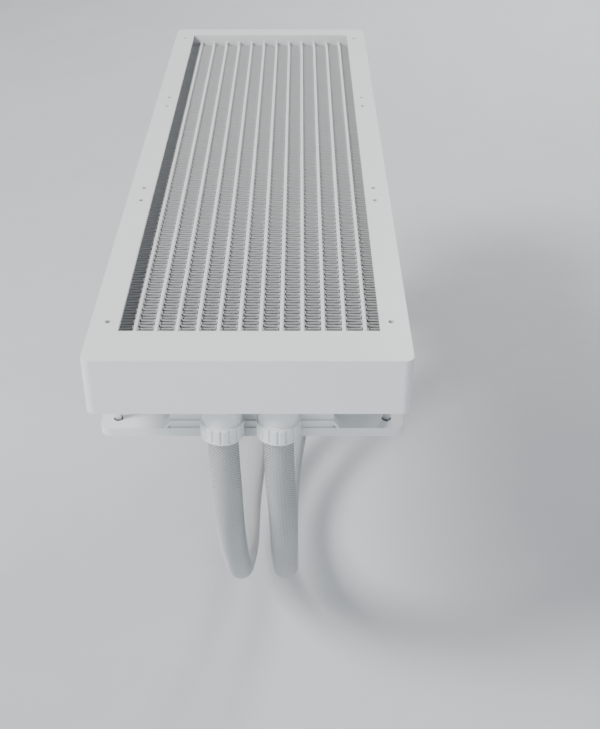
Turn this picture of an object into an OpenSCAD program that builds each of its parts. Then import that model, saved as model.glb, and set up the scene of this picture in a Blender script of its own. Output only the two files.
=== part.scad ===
// All-in-one liquid cooler: a radiator with three fans below it, two braided hoses and a pump head.
// The origin is the centre of the radiator's top mounting face. +Y runs from the hose end to the far
// end, +Z is up and the pump head's cold plate faces +X.

/* [Fans] */
// Side of one square fan
fan_size = 140; // [138:1:142]
// Distance between a fan's screw holes
hole_pitch = 124.5; // [123:0.5:126]
// Thickness of a fan
fan_depth = 30; // [28:1:36]
// Number of blades on a rotor
blade_count = 9; // [7:1:11]

/* [Radiator] */
// Thickness of the radiator
radiator_depth = 27; // [26:1:34]
// Length of the front tank, which carries the hoses
front_tank_len = 24; // [24:1:34]
// Length of the rear tank
rear_tank_len = 14; // [10:1:30]
// Number of flat tubes in the core
tube_count = 12; // [10:2:16]
// Number of folds in a fin row
fin_folds = 42; // [20:2:60]

/* [Hoses] */
// Outer diameter of a braided hose
hose_d = 14; // [12:0.5:14]
// Distance between the two hose fittings
fitting_pitch = 25; // [24:1:30]

/* [Pump head] */
// Diameter of the pump head's housing
pump_d = 70; // [66:1:76]
// Distance between the mounting screws
cpu_pitch = 78; // [76:1:80]

/* [Hidden] */
$fn = 64;
FAN_COUNT = 3;
wall = 1.5;                    // sheet and tank walls
tank_wall = 2.5;               // a tank's thicker side walls
screw_r = 1.75;                // long fan screws
screw_fit = 0.05;              // clearance between a screw and its threaded hole
tapped_r = 1.4;                // top holes, at the root of the case screws' thread
row_y = [-fan_size, 0, fan_size];
core_len = FAN_COUNT * fan_size;
front_y = -core_len / 2;
rear_y = core_len / 2;
half_w = fan_size / 2;
hole_at = hole_pitch / 2;
fan_top_z = -radiator_depth;
fan_bottom_z = fan_top_z - fan_depth;

// core of flat tubes and fin rows
rail_web = 0.8;                // a rail's inner web, between the core and the screw holes
web_gap = 0.15;                // from that web to a screw hole's edge
rail_flange_w = 13;
core_w = hole_pitch - 2 * (screw_r + screw_fit + rail_web + web_gap);
core_depth = radiator_depth - 10;
core_mid_z = -radiator_depth / 2;
flat_t = 2;
flat_wall = 0.4;
row_pitch = (core_w + flat_t) / (tube_count + 1);
fin_h = row_pitch - flat_t;
fin_t = 0.3;
fin_margin = 4;
header_inset = 1;              // a flat tube reaches this far past its header plate

// fan
flange_t = 4.5;
flange_round = 5;
duct_outer_r = half_w - 1;
duct_r = half_w - 3.5;
hub_r = 21;
hub_floor_t = 3.5;             // motor support, on the radiator's side
blade_tip_r = duct_r - 1.5;
rotor_low = 4.5;               // rotor's lowest point above the fan's lower face
rotor_high = fan_depth - hub_floor_t - 1.5;
shaft_r = 1.5;
shaft_fit = 0.05;
bearing_r = 3;
boss_r = 4.2;
gusset_base = 87;
gusset_top = 75;
gusset_h = 8.7;
gusset_rib = 1.2;
gusset_band = 2.75;
pocket_depth = 1.5;

// hose fittings
fitting_y = front_y - front_tank_len / 2;
sleeve_r = 9.15;
sleeve_h = 11.1;
ring_r = 9.9;
ring_h = 8.7;
hose_gap = 0.2;                // between a hose and the collar around it
groove_count = 16;
barb_r = 4;
barb_bore_r = 2.8;
barb_len = 17;
hose_sides = 12;

// pump head: its axis runs along X, from the cap to the cold plate
pump_y = 190;
pump_z = -160;
plate_x = 70;                  // the cold plate's contact face
plate_side = 56;
plate_t = 3;
gasket_t = 1;
housing_x = plate_x - plate_t - gasket_t;
housing_len = 22;
cap_x = housing_x - housing_len;
cap_len = 24;
cap_wall = 2;
cap_face_r = pump_d / 2 - 5;
cap_fit = 0.05;                // clearance around the cap's cover plate
can_r = 11;
can_bore_r = 9.6;
can_len = 14;
pin_r = 1;
pin_fit = 0.05;
chamber_r = 15;
pump_port_gap = 22;            // between the two hose ports
port_x = cap_x + 6;
port_y = pump_y - pump_d / 2;
port_block_len = 14.5;         // flat seat for the two collars
port_block_h = 42;
bracket_t = 2;
bracket_x = housing_x - 6;
bracket_ring_w = 6;
spring_room = 7;
cpu_screw_r = 1.5;
cpu_neck_r = 1.9;              // plain neck that passes through the bracket
board_t = 1.2;

// The hoses' centre lines, from inside the radiator's collar to inside the pump head's collar
ROUTE_LEFT = [
    [-12.5, -222, -29], [-12.5, -222, -50], [-12, -219, -76], [-12, -210, -106], [-12, -194, -138],
    [-12, -172, -170], [-12, -146, -200], [-12, -119, -221], [-11, -88, -233], [-11, -54, -235],
    [-9, -20, -230], [-4, 11, -222], [7, 40, -210], [22, 64, -196], [36, 86, -184],
    [46, 110, -175], [50, 134, -171], [50, 152, -171],
];
ROUTE_RIGHT = [
    [12.5, -222, -29], [12.5, -222, -50], [13, -219, -76], [14, -210, -106], [14, -194, -138],
    [14, -172, -170], [14, -146, -200], [14, -119, -221], [14, -88, -233], [14, -54, -235],
    [16, -20, -228], [21, 11, -214], [28, 41, -195], [36, 66, -176], [43, 88, -162],
    [48, 110, -153], [50, 134, -149], [50, 152, -149],
];

// ---------- shared shapes ----------

// Rectangle with round corners, centred
module rounded_rect(width, length, round_r) {
    square([width - 2 * round_r, length], center = true);
    square([width, length - 2 * round_r], center = true);
    for (sx = [-1, 1], sy = [-1, 1])
        translate([sx * (width / 2 - round_r), sy * (length / 2 - round_r)])
            circle(round_r);
}

module ring(outer_r, inner_r, height) {
    difference() {
        cylinder(r = outer_r, h = height);
        translate([0, 0, -1])
            cylinder(r = inner_r, h = height + 2);
    }
}

module at_corners(pitch) {
    for (sx = [-1, 1], sy = [-1, 1])
        translate([sx * pitch / 2, sy * pitch / 2, 0])
            children();
}

// Every screw position of the three fans
module at_fan_holes(sides = [-1, 1]) {
    for (y = row_y, sx = sides, sy = [-1, 1])
        translate([sx * hole_at, y + sy * hole_at, 0])
            children();
}

// ---------- radiator ----------

// Box tank with round outer corners, open towards the core. It is built towards -Y from the core's end
module tank_shell(length) {
    round_r = 4;
    difference() {
        translate([0, 0, -radiator_depth])
            linear_extrude(radiator_depth) {
                translate([-half_w, -length + round_r])
                    square([fan_size, length - round_r]);
                translate([-half_w + round_r, -length])
                    square([fan_size - 2 * round_r, length]);
                for (sx = [-1, 1])
                    translate([sx * (half_w - round_r), -length + round_r])
                        circle(round_r);
            }
        translate([-half_w + tank_wall, -length + wall, -radiator_depth + wall])
            cube([fan_size - 2 * tank_wall, length, radiator_depth - 2 * wall]);
    }
}

module front_tank() {
    color("gainsboro")
        difference() {
            translate([0, front_y, 0])
                tank_shell(front_tank_len);
            for (sx = [-1, 1])
                translate([sx * fitting_pitch / 2, fitting_y, -radiator_depth - 1])
                    cylinder(r = barb_bore_r, h = wall + 2);
        }
}

// Wall that splits the front tank into its inlet and outlet halves
module tank_divider() {
    color("gainsboro")
        translate([-wall / 2, front_y - front_tank_len + wall, -radiator_depth + wall])
            cube([wall, front_tank_len - 2 * wall, radiator_depth - 2 * wall]);
}

module rear_tank() {
    plug_r = 3;
    color("gainsboro")
        difference() {
            translate([0, rear_y, 0])
                rotate([0, 0, 180])
                    tank_shell(rear_tank_len);
            translate([0, rear_y + rear_tank_len + 1, core_mid_z])
                rotate([90, 0, 0])
                    cylinder(r = plug_r, h = wall + 2);
        }
}

module fill_plug() {
    color("silver")
        translate([0, rear_y + rear_tank_len, core_mid_z])
            rotate([90, 0, 0])
                difference() {
                    union() {
                        translate([0, 0, -1.2])
                            cylinder(r = 5, h = 1.2);
                        cylinder(r = 2.95, h = 4);
                    }
                    translate([0, 0, -2])
                        cylinder(r = 2, h = 3.5, $fn = 6);
                }
}

// Flat tube's outline across the core, in X and Z
module flat_outline(inset) {
    rounded_rect(flat_t - 2 * inset, core_depth - 2 * inset, flat_t / 2 - inset - 0.01);
}

module at_flat_tubes() {
    for (i = [1 : tube_count])
        translate([-core_w / 2 + i * row_pitch - flat_t / 2, 0, 0])
            children();
}

module header_plate(y) {
    header_w = fan_size - 2 * tank_wall;
    color("gainsboro")
        difference() {
            translate([-header_w / 2, y, -radiator_depth + wall])
                cube([header_w, wall, radiator_depth - 2 * wall]);
            at_flat_tubes()
                translate([0, y + wall + 1, core_mid_z])
                    rotate([90, 0, 0])
                        linear_extrude(wall + 2)
                            flat_outline(0);
        }
}

module front_header() header_plate(front_y - wall);
module rear_header() header_plate(rear_y);

// Box-section side rail: outer and inner webs, and a screw flange along its top and its bottom
module rail(side) {
    color("whitesmoke")
        difference() {
            translate([0, rear_y, 0])
                rotate([90, 0, 0])
                    linear_extrude(core_len)
                        scale_x(side) {
                            translate([half_w - wall, -radiator_depth])
                                square([wall, radiator_depth]);
                            translate([core_w / 2, -radiator_depth])
                                square([rail_web, radiator_depth]);
                            for (z = [-radiator_depth, -wall])
                                translate([half_w - rail_flange_w, z])
                                    square([rail_flange_w, wall]);
                        }
            at_fan_holes([side]) {
                translate([0, 0, -radiator_depth - 1])
                    cylinder(r = screw_r + screw_fit, h = wall + 2);
                translate([0, 0, -wall - 1])
                    cylinder(r = tapped_r, h = wall + 2);
            }
        }
}

module scale_x(side) {
    mirror([side < 0 ? 1 : 0, 0, 0])
        children();
}

module left_rail() rail(-1);
module right_rail() rail(1);

module flat_tubes() {
    tube_len = core_len + 2 * (wall + header_inset);
    color("lightgray")
        at_flat_tubes()
            translate([0, tube_len / 2, core_mid_z])
                rotate([90, 0, 0])
                    linear_extrude(tube_len)
                        difference() {
                            flat_outline(0);
                            flat_outline(flat_wall);
                        }
}

// One folded fin strip lies in each gap beside the flat tubes
module fin_rows() {
    span = core_len - 2 * fin_margin;
    step = span / fin_folds;
    top = fin_h / 2;
    function crest(i) = (i % 2 == 0 ? 1 : -1) * (top - fin_t);
    upper = [for (i = [0 : fin_folds]) [crest(i) + fin_t, i * step]];
    lower = [for (i = [fin_folds : -1 : 0]) [crest(i) - fin_t, i * step]];
    color("white")
        for (i = [0 : tube_count])
            translate([-core_w / 2 + i * row_pitch + fin_h / 2, -span / 2, core_mid_z - core_depth / 2])
                linear_extrude(core_depth)
                    polygon(concat(upper, lower));
}

// ---------- fans ----------

// Trapezoid gusset on the middle of a fan's side, with a shallow pocket inside its ribs
module gusset() {
    slope = (gusset_base - gusset_top) / 2 / gusset_h;
    module trapezoid(z_low, z_high, inset) {
        low_half = gusset_base / 2 - z_low * slope - inset;
        high_half = gusset_base / 2 - z_high * slope - inset;
        polygon([[-low_half, z_low], [low_half, z_low], [high_half, z_high], [-high_half, z_high]]);
    }
    translate([0, -half_w, 0])
        rotate([90, 0, 0])
            mirror([0, 0, 1])
                difference() {
                    linear_extrude(half_w - duct_r + 2)
                        trapezoid(0, gusset_h, 0);
                    translate([0, 0, -1])
                        linear_extrude(pocket_depth + 1)
                            trapezoid(gusset_band, gusset_h - gusset_rib, gusset_rib * 1.2);
                }
}

module fan_frame(y) {
    strut_count = 4;
    strut_w = 5;
    pad_depth = 1;
    color("whitesmoke")
        translate([0, y, fan_bottom_z])
            difference() {
                union() {
                    difference() {
                        union() {
                            for (z = [0, fan_depth - flange_t])
                                translate([0, 0, z])
                                    linear_extrude(flange_t)
                                        rounded_rect(fan_size, fan_size, flange_round);
                            cylinder(r = duct_outer_r, h = fan_depth, $fn = 128);
                            for (a = [0 : 90 : 270])
                                rotate([0, 0, a]) {
                                    translate([-gusset_top / 2, -half_w + pad_depth, 0])
                                        cube([gusset_top, half_w - duct_r + 4, fan_depth]);
                                    gusset();
                                    translate([0, 0, fan_depth])
                                        mirror([0, 0, 1])
                                            gusset();
                                }
                        }
                        translate([0, 0, -1])
                            cylinder(r = duct_r, h = fan_depth + 2, $fn = 128);
                        at_corners(hole_pitch)
                            translate([0, 0, -1])
                                cylinder(r = screw_r + 0.5, h = fan_depth + 2);
                    }
                    translate([0, 0, fan_depth - hub_floor_t]) {
                        cylinder(r = hub_r + 1, h = hub_floor_t);
                        for (i = [0 : strut_count - 1])
                            rotate([0, 0, 45 + i * 360 / strut_count])
                                translate([hub_r - 1, -strut_w / 2, 0])
                                    cube([duct_r - hub_r + 2, strut_w, hub_floor_t]);
                    }
                    translate([0, 0, rotor_low + 5])
                        cylinder(r = boss_r, h = fan_depth - hub_floor_t - rotor_low - 4);
                }
                translate([0, 0, rotor_low])
                    cylinder(r = bearing_r, h = fan_depth - hub_floor_t - rotor_low + 1);
            }
}

// Blade section at a radius: a thin arched strip that leans more towards the hub
function blade_lean(r) = 52 - 20 * (r - hub_r) / (blade_tip_r - hub_r);
function blade_sweep(r) = 16 * pow((r - hub_r) / (blade_tip_r - hub_r), 2);
function blade_point(r, s, side, height) =
    let (
        rise = (s - 0.5) * height,
        arch = 3 * (1 - pow(2 * s - 1, 2)),
        across = -rise * tan(90 - blade_lean(r)) * 0.8 + arch + side * 0.7,
        angle = blade_sweep(r) + across / r * 180 / PI
    )
    [r * cos(angle), r * sin(angle), rise];

module blade(height) {
    radial = 5;
    chord = 5;
    function at(i, j, side) =
        blade_point(hub_r - 0.6 + i * (blade_tip_r - hub_r + 0.6) / radial, j / chord, side, height);
    row = chord + 1;
    sheet = (radial + 1) * row;
    points = [
        for (side = [-1, 1], i = [0 : radial], j = [0 : chord])
            at(i, j, side)
    ];
    function corner(layer, i, j) = layer * sheet + i * row + j;
    lower = [
        for (i = [0 : radial - 1], j = [0 : chord - 1])
            each [
                [corner(0, i, j), corner(0, i + 1, j), corner(0, i + 1, j + 1)],
                [corner(0, i, j), corner(0, i + 1, j + 1), corner(0, i, j + 1)],
            ]
    ];
    upper = [
        for (i = [0 : radial - 1], j = [0 : chord - 1])
            each [
                [corner(1, i, j), corner(1, i + 1, j + 1), corner(1, i + 1, j)],
                [corner(1, i, j), corner(1, i, j + 1), corner(1, i + 1, j + 1)],
            ]
    ];
    edges_radial = [
        for (i = [0 : radial - 1])
            each [
                [corner(0, i, 0), corner(1, i, 0), corner(1, i + 1, 0)],
                [corner(0, i, 0), corner(1, i + 1, 0), corner(0, i + 1, 0)],
                [corner(0, i, chord), corner(1, i + 1, chord), corner(1, i, chord)],
                [corner(0, i, chord), corner(0, i + 1, chord), corner(1, i + 1, chord)],
            ]
    ];
    edges_chord = [
        for (j = [0 : chord - 1])
            each [
                [corner(0, 0, j), corner(1, 0, j + 1), corner(1, 0, j)],
                [corner(0, 0, j), corner(0, 0, j + 1), corner(1, 0, j + 1)],
                [corner(0, radial, j), corner(1, radial, j), corner(1, radial, j + 1)],
                [corner(0, radial, j), corner(1, radial, j + 1), corner(0, radial, j + 1)],
            ]
    ];
    faces = concat(lower, upper, edges_radial, edges_chord);
    polyhedron(points, [for (f = faces) [f[2], f[1], f[0]]]);
}

module fan_rotor(y) {
    height = rotor_high - rotor_low;
    cup_wall = 1.5;
    color("ghostwhite")
        translate([0, y, fan_bottom_z + rotor_low]) {
            difference() {
                cylinder(r = hub_r, h = height);
                translate([0, 0, cup_wall])
                    cylinder(r = hub_r - cup_wall, h = height);
                cylinder(r = shaft_r, h = cup_wall * 3, center = true);
            }
            for (i = [0 : blade_count - 1])
                rotate([0, 0, i * 360 / blade_count])
                    translate([0, 0, height / 2])
                        blade(height - 1);
        }
}

module fan_shaft(y) {
    color("silver")
        translate([0, y, fan_bottom_z + rotor_low])
            cylinder(r = shaft_r, h = fan_depth - hub_floor_t - rotor_low - 1);
}

module fan_magnet(y) {
    outer_r = hub_r - 1.5;
    color("dimgray")
        translate([0, y, fan_bottom_z + rotor_low + 5])
            ring(outer_r, outer_r - 2, rotor_high - rotor_low - 6);
}

module fan_bearing(y) {
    low = rotor_low + 5;
    color("goldenrod")
        translate([0, y, fan_bottom_z + low])
            ring(bearing_r, shaft_r + shaft_fit, fan_depth - hub_floor_t - low);
}

// Nine-tooth motor core that fits over the bearing boss
module motor_core(inner_r, outer_r, height, teeth) {
    shoe_t = 1.5;
    difference() {
        union() {
            cylinder(r = inner_r + 3, h = height);
            for (i = [0 : teeth - 1])
                rotate([0, 0, i * 360 / teeth])
                    translate([inner_r, -1, 0])
                        cube([outer_r - inner_r - 1, 2, height]);
            intersection() {
                ring(outer_r, outer_r - shoe_t, height);
                for (i = [0 : teeth - 1])
                    rotate([0, 0, i * 360 / teeth])
                        translate([0, -outer_r * 0.26, 0])
                            cube([outer_r + 1, outer_r * 0.52, height]);
            }
        }
        translate([0, 0, -1])
            cylinder(r = inner_r, h = height + 2);
    }
}

module fan_stator(y) {
    color("peru")
        translate([0, y, fan_bottom_z + rotor_low + 6])
            motor_core(boss_r, hub_r - 4.5, 9, 9);
}

module fan_board(y) {
    low = fan_depth - hub_floor_t - board_t;
    color("darkgreen")
        translate([0, y, fan_bottom_z + low])
            ring(hub_r - 5, boss_r, board_t);
}

module front_fan_frame() fan_frame(row_y[0]);
module front_fan_rotor() fan_rotor(row_y[0]);
module front_fan_shaft() fan_shaft(row_y[0]);
module front_fan_magnet() fan_magnet(row_y[0]);
module front_fan_bearing() fan_bearing(row_y[0]);
module front_fan_stator() fan_stator(row_y[0]);
module front_fan_board() fan_board(row_y[0]);
module middle_fan_frame() fan_frame(row_y[1]);
module middle_fan_rotor() fan_rotor(row_y[1]);
module middle_fan_shaft() fan_shaft(row_y[1]);
module middle_fan_magnet() fan_magnet(row_y[1]);
module middle_fan_bearing() fan_bearing(row_y[1]);
module middle_fan_stator() fan_stator(row_y[1]);
module middle_fan_board() fan_board(row_y[1]);
module rear_fan_frame() fan_frame(row_y[2]);
module rear_fan_rotor() fan_rotor(row_y[2]);
module rear_fan_shaft() fan_shaft(row_y[2]);
module rear_fan_magnet() fan_magnet(row_y[2]);
module rear_fan_bearing() fan_bearing(row_y[2]);
module rear_fan_stator() fan_stator(row_y[2]);
module rear_fan_board() fan_board(row_y[2]);

// Long screws that pass through each fan's corners into the radiator's rails
module fan_screws() {
    head_h = 2;
    head_r = 3.3;
    grip = 4;
    color("silver")
        at_fan_holes()
            translate([0, 0, fan_bottom_z])
                difference() {
                    union() {
                        translate([0, 0, -head_h])
                            cylinder(r = head_r, h = head_h);
                        cylinder(r = screw_r, h = fan_depth + grip);
                    }
                    translate([0, 0, -head_h - 1])
                        cylinder(r = 1.3, h = 2.2, $fn = 6);
                }
}

// ---------- hose fittings ----------

// A fitting points along +Z here, from the face it stands on
module barb(length) {
    flange_r = 6;
    rib_count = 3;
    rib_len = 4;
    color("silver")
        difference() {
            union() {
                cylinder(r = barb_r - 0.6, h = length);
                cylinder(r = flange_r, h = 1);
                for (i = [0 : rib_count - 1])
                    translate([0, 0, length - (i + 1) * rib_len])
                        cylinder(r1 = barb_r + 0.3, r2 = barb_r - 0.6, h = rib_len);
            }
            translate([0, 0, -1])
                cylinder(r = barb_bore_r, h = length + 2);
        }
}

module sleeve() {
    color("whitesmoke")
        ring(sleeve_r, hose_d / 2 + hose_gap, sleeve_h);
}

// Grip ring with shallow grooves, standing on its sleeve
module grip_ring() {
    groove_w = 0.6;
    groove_d = 0.8;
    chamfer = 0.8;
    color("white")
        translate([0, 0, sleeve_h])
            difference() {
                union() {
                    cylinder(r = ring_r, h = ring_h - chamfer);
                    translate([0, 0, ring_h - chamfer])
                        cylinder(r1 = ring_r, r2 = ring_r - chamfer, h = chamfer);
                }
                translate([0, 0, -1])
                    cylinder(r = hose_d / 2 + hose_gap, h = ring_h + 2);
                for (i = [0 : groove_count - 1])
                    rotate([0, 0, i * 360 / groove_count])
                        translate([ring_r - groove_d, -groove_w / 2, chamfer])
                            cube([2, groove_w, ring_h - 3 * chamfer]);
            }
}

module at_radiator_fitting(side) {
    translate([side * fitting_pitch / 2, fitting_y, -radiator_depth])
        rotate([180, 0, 0])
            children();
}

module at_pump_fitting(side) {
    translate([port_x, port_y, pump_z + side * pump_port_gap / 2])
        rotate([90, 0, 0])
            children();
}

module barb_left() at_radiator_fitting(-1) barb(barb_len);
module barb_right() at_radiator_fitting(1) barb(barb_len);
module sleeve_left() at_radiator_fitting(-1) sleeve();
module sleeve_right() at_radiator_fitting(1) sleeve();
module ring_left() at_radiator_fitting(-1) grip_ring();
module ring_right() at_radiator_fitting(1) grip_ring();
module pump_barb_upper() at_pump_fitting(1) barb(barb_len);
module pump_barb_lower() at_pump_fitting(-1) barb(barb_len);
module pump_sleeve_upper() at_pump_fitting(1) sleeve();
module pump_sleeve_lower() at_pump_fitting(-1) sleeve();
module pump_ring_upper() at_pump_fitting(1) grip_ring();
module pump_ring_lower() at_pump_fitting(-1) grip_ring();

// ---------- hoses ----------

function unit(v) = v / norm(v);

// Round tube swept along a route, with its rings turned about one fixed side direction
module swept_tube(route, radius, sides) {
    last = len(route) - 1;
    function heading(i) = unit(route[min(i + 1, last)] - route[max(i - 1, 0)]);
    function across(i) = unit(cross(heading(i), cross([1, 0, 0], heading(i))));
    points = [
        for (i = [0 : last])
            let (u = across(i), v = cross(heading(i), u))
                for (k = [0 : sides - 1])
                    route[i] + radius * (cos(k * 360 / sides) * u + sin(k * 360 / sides) * v)
    ];
    walls = [
        for (i = [0 : last - 1], k = [0 : sides - 1])
            let (next = (k + 1) % sides)
                [i * sides + k, i * sides + next, (i + 1) * sides + next, (i + 1) * sides + k]
    ];
    start_cap = [[for (k = [sides - 1 : -1 : 0]) k]];
    end_cap = [[for (k = [0 : sides - 1]) last * sides + k]];
    polyhedron(points, [for (f = concat(walls, start_cap, end_cap)) [for (k = [len(f) - 1 : -1 : 0]) f[k]]]);
}

module tube_left() {
    color("white")
        swept_tube(ROUTE_LEFT, hose_d / 2, hose_sides);
}

module tube_right() {
    color("white")
        swept_tube(ROUTE_RIGHT, hose_d / 2, hose_sides);
}

// ---------- pump head ----------

// Moves a shape drawn along +Z so that it starts at x and points along +X on the pump's axis
module on_pump(x) {
    translate([x, pump_y, pump_z])
        rotate([0, 90, 0])
            children();
}

module pump_housing() {
    floor_t = 4;
    plenum_r = 25;
    plenum_len = 6;
    throat_r = 5;
    color("whitesmoke")
        difference() {
            union() {
                on_pump(cap_x)
                    cylinder(r = pump_d / 2, h = housing_len);
                on_pump(cap_x - can_len)
                    cylinder(r = can_r, h = can_len + 1);
                translate([cap_x, port_y, pump_z - port_block_h / 2])
                    cube([port_block_len, 20, port_block_h]);
            }
            on_pump(cap_x - can_len + wall)
                cylinder(r = can_bore_r, h = can_len + 6);
            on_pump(cap_x + 3)
                cylinder(r = chamber_r, h = housing_len - 3 - floor_t - plenum_len);
            on_pump(housing_x - plenum_len - floor_t - 1)
                cylinder(r = throat_r, h = floor_t + 2);
            on_pump(housing_x - plenum_len)
                cylinder(r = plenum_r, h = plenum_len + 1);
            on_pump(cap_x - can_len - 1)
                cylinder(r = pin_r, h = wall + 2);
            for (side = [-1, 1])
                translate([port_x, port_y - 1, pump_z + side * pump_port_gap / 2])
                    rotate([-90, 0, 0])
                        cylinder(r = barb_bore_r, h = 30);
            on_pump(housing_x - 5)
                at_corners(plate_side - 8)
                    cylinder(r = 1.3, h = 6);
        }
}

module pump_cap() {
    color("whitesmoke")
        on_pump(cap_x - cap_len)
            difference() {
                cylinder(r = pump_d / 2, h = cap_len);
                translate([0, 0, cap_wall])
                    cylinder(r = pump_d / 2 - cap_wall, h = cap_len);
                translate([0, 0, -1])
                    cylinder(r = cap_face_r, h = cap_wall + 2);
            }
}

// Round cover plate that fills the cap's opening
module cap_face() {
    color("gray")
        on_pump(cap_x - cap_len)
            cylinder(r = cap_face_r - cap_fit, h = cap_wall);
}

module cold_plate() {
    color("peru")
        on_pump(plate_x - plate_t)
            difference() {
                linear_extrude(plate_t)
                    rounded_rect(plate_side, plate_side, 4);
                at_corners(plate_side - 8)
                    translate([0, 0, -1])
                        cylinder(r = 1.4, h = plate_t + 2);
                at_corners(plate_side - 8)
                    translate([0, 0, plate_t - 1.5])
                        cylinder(r = 2.6, h = 3);
            }
}

module plate_gasket() {
    color("black")
        on_pump(housing_x)
            ring(27, 25, gasket_t);
}

module plate_screws() {
    color("silver")
        on_pump(housing_x - 4)
            at_corners(plate_side - 8)
                difference() {
                    union() {
                        cylinder(r = 1.25, h = gasket_t + plate_t + 3);
                        translate([0, 0, gasket_t + plate_t + 2.5])
                            cylinder(r = 2.5, h = 1.2);
                    }
                    translate([0, 0, gasket_t + plate_t + 3])
                        cylinder(r = 1, h = 2, $fn = 6);
                }
}

module impeller() {
    vane_count = 6;
    disc_t = 1.2;
    vane_h = 4;
    magnet_r = can_bore_r - 0.6;
    magnet_low = cap_x - can_len + wall + 0.6;
    disc_low = cap_x + 4;
    disc_r = chamber_r - 1.2;
    color("dimgray")
        difference() {
            union() {
                on_pump(magnet_low)
                    cylinder(r = magnet_r, h = disc_low - magnet_low);
                on_pump(disc_low) {
                    cylinder(r = disc_r, h = disc_t);
                    for (i = [0 : vane_count - 1])
                        rotate([0, 0, i * 360 / vane_count])
                            translate([2, -0.5, disc_t - 0.2])
                                cube([disc_r - 3, 1, vane_h]);
                    cylinder(r = 3.5, h = disc_t + vane_h - 0.4);
                }
            }
            on_pump(magnet_low - 1)
                cylinder(r = pin_r + pin_fit, h = housing_len + can_len);
        }
}

module impeller_pin() {
    color("silver")
        on_pump(cap_x - can_len)
            cylinder(r = pin_r, h = can_len + 9);
}

module pump_stator() {
    color("peru")
        on_pump(cap_x - can_len + 2)
            motor_core(can_r + 0.3, 23, 9, 6);
}

module pump_board() {
    color("darkgreen")
        on_pump(cap_x - cap_len + 5)
            cylinder(r = 28, h = board_t);
}

// Steel ring around the housing with four arms to the mounting screws
module cpu_bracket() {
    inner_r = pump_d / 2 + 0.1;
    arm_w = 10;
    screw_at = cpu_pitch / 2 * sqrt(2);
    color("dimgray")
        on_pump(bracket_x)
            difference() {
                union() {
                    cylinder(r = inner_r + bracket_ring_w, h = bracket_t);
                    for (a = [45 : 90 : 315])
                        rotate([0, 0, a]) {
                            translate([inner_r, -arm_w / 2, 0])
                                cube([screw_at - inner_r, arm_w, bracket_t]);
                            translate([screw_at, 0, 0])
                                cylinder(r = arm_w / 2, h = bracket_t);
                        }
                }
                translate([0, 0, -1])
                    cylinder(r = inner_r, h = bracket_t + 2);
                at_corners(cpu_pitch)
                    translate([0, 0, -1])
                        cylinder(r = cpu_neck_r + 0.2, h = bracket_t + 2);
            }
}

module cpu_screws() {
    knob_r = 4.5;
    knob_h = 6;
    color("silver")
        on_pump(bracket_x - spring_room)
            at_corners(cpu_pitch) {
                translate([0, 0, -knob_h])
                    cylinder(r = knob_r, h = knob_h);
                cylinder(r = cpu_neck_r, h = spring_room + bracket_t + 1);
                cylinder(r = cpu_screw_r, h = spring_room + bracket_t + 12);
            }
}

// Coil springs, each a stack of turns, that press the bracket down from the screws' heads
module cpu_springs() {
    turns = 4;
    wire_r = 0.5;
    pitch = spring_room / turns;
    color("silver")
        on_pump(bracket_x - spring_room)
            at_corners(cpu_pitch)
                for (i = [0 : turns - 1])
                    translate([0, 0, pitch * (i + 0.5)])
                        rotate_extrude()
                            translate([3, 0])
                                circle(wire_r, $fn = 16);
}

front_tank();
tank_divider();
rear_tank();
front_header();
rear_header();
left_rail();
right_rail();
flat_tubes();
fin_rows();
fill_plug();
barb_left();
barb_right();
sleeve_left();
sleeve_right();
ring_left();
ring_right();
tube_left();
tube_right();
front_fan_frame();
front_fan_rotor();
front_fan_shaft();
front_fan_magnet();
front_fan_bearing();
front_fan_stator();
front_fan_board();
middle_fan_frame();
middle_fan_rotor();
middle_fan_shaft();
middle_fan_magnet();
middle_fan_bearing();
middle_fan_stator();
middle_fan_board();
rear_fan_frame();
rear_fan_rotor();
rear_fan_shaft();
rear_fan_magnet();
rear_fan_bearing();
rear_fan_stator();
rear_fan_board();
fan_screws();
pump_housing();
pump_cap();
cap_face();
cold_plate();
plate_gasket();
plate_screws();
impeller();
impeller_pin();
pump_stator();
pump_board();
cpu_bracket();
cpu_screws();
cpu_springs();
pump_barb_upper();
pump_barb_lower();
pump_sleeve_upper();
pump_sleeve_lower();
pump_ring_upper();
pump_ring_lower();
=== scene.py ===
"""Looks of the liquid cooler: radiator, three fans, collars, braided hoses and pump head."""
import math

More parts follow.
